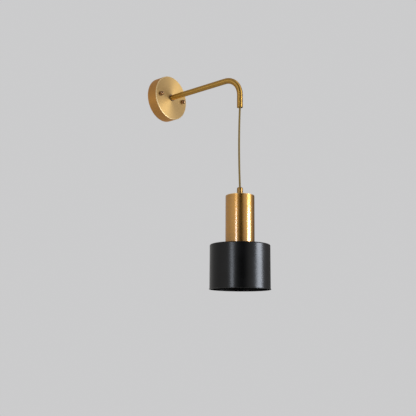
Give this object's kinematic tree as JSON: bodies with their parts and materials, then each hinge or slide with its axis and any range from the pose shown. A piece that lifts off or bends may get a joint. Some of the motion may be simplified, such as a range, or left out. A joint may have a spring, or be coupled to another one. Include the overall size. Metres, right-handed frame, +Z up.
{
  "type": "pendant wall light",
  "caption": "Wall light with a round brass canopy, a bent tube arm and a cord hanging a brass sleeve over a black drum shade.",
  "frame": {"origin": "centre of the canopy's back rim, on the wall", "axes": "+Z up; +Y into the wall, so the arm reaches out along -Y; +X to the right seen from the room"},
  "size_m": [0.1218, 0.2829, 0.492],
  "materials": {
    "satin_brass": "satin, brushed",
    "ball_brass": "polished",
    "dark_bronze": "satin",
    "zinc_steel": "zinc plated",
    "black_plastic": "matt",
    "natural_plastic": "matt",
    "contact_brass": "plain",
    "tinned_copper": "tinned",
    "gold_cord": "braided",
    "brown_core": "matt",
    "blue_core": "matt",
    "earth_core": "matt, green and yellow",
    "black_paint": "satin black",
    "steatite": "glazed ceramic",
    "nickel": "nickel plated",
    "opal": "opal",
    "white_plastic": "gloss",
    "aluminium": "plain"
  },
  "bodies": {
    "wall_side": {"mounting_bar": "zinc_steel", "canopy_studs": "zinc_steel", "stud_nuts": "zinc_steel", "ball_nuts": "ball_brass", "canopy": "satin_brass", "arm_tube": "satin_brass", "arm_collar": "dark_bronze", "arm_nipple": "zinc_steel", "arm_lock_washer": "zinc_steel", "arm_nut": "zinc_steel", "cord_anchor": "black_plastic", "anchor_screw": "zinc_steel", "terminal_block": "natural_plastic", "terminal_inserts": "contact_brass", "terminal_screws": "zinc_steel", "block_fixing_screw": "zinc_steel", "earth_tag": "tinned_copper", "earth_spring_washer": "zinc_steel", "earth_screw": "zinc_steel", "earth_lead": "earth_core", "canopy_core_brown": "brown_core", "canopy_core_blue": "blue_core", "canopy_core_earth": "earth_core", "tube_end_bush": "black_plastic", "cord_in_arm": "gold_cord"},
    "cord_bend": {"cord_at_exit": "gold_cord"},
    "cord_run": {"hanging_cord": "gold_cord"},
    "pendant": {"cord_grip": "satin_brass", "grip_screw": "zinc_steel", "pendant_pipe": "zinc_steel", "sleeve": "satin_brass", "sleeve_washer": "zinc_steel", "sleeve_nut": "zinc_steel", "cord_in_pendant": "gold_cord", "shade": "black_paint", "upper_shade_ring": "black_plastic", "lower_shade_ring": "black_plastic", "holder_cap": "black_plastic", "holder_cap_screw": "zinc_steel", "holder_skirt": "black_plastic", "holder_ceramic": "steatite", "screw_shell": "nickel", "centre_contact": "contact_brass", "holder_terminals": "contact_brass", "holder_terminal_screws": "zinc_steel", "holder_core_brown": "brown_core", "holder_core_blue": "blue_core", "holder_core_earth": "earth_core", "bulb_contact": "nickel", "bulb_insulator": "black_plastic", "bulb_cap": "nickel", "bulb_collar": "white_plastic", "led_plate": "aluminium", "bulb_envelope": "opal"}
  },
  "joints": [
    {"name": "swing_sideways", "type": "hinge", "parent": "wall_side", "child": "cord_bend", "pos_m": [0, -0.222, -0.067], "axis": [0, 1, 0], "range_deg": [-35, 35]},
    {"name": "swing_in_out", "type": "hinge", "parent": "cord_bend", "child": "cord_run", "pos_m": [0, -0.222, -0.067], "axis": [1, 0, 0], "range_deg": [-35, 25]},
    {"name": "pendant_twist", "type": "hinge", "parent": "cord_run", "child": "pendant", "pos_m": [0, -0.222, -0.237], "axis": [0, 0, 1], "range_deg": [-180, 180]}
  ]
}
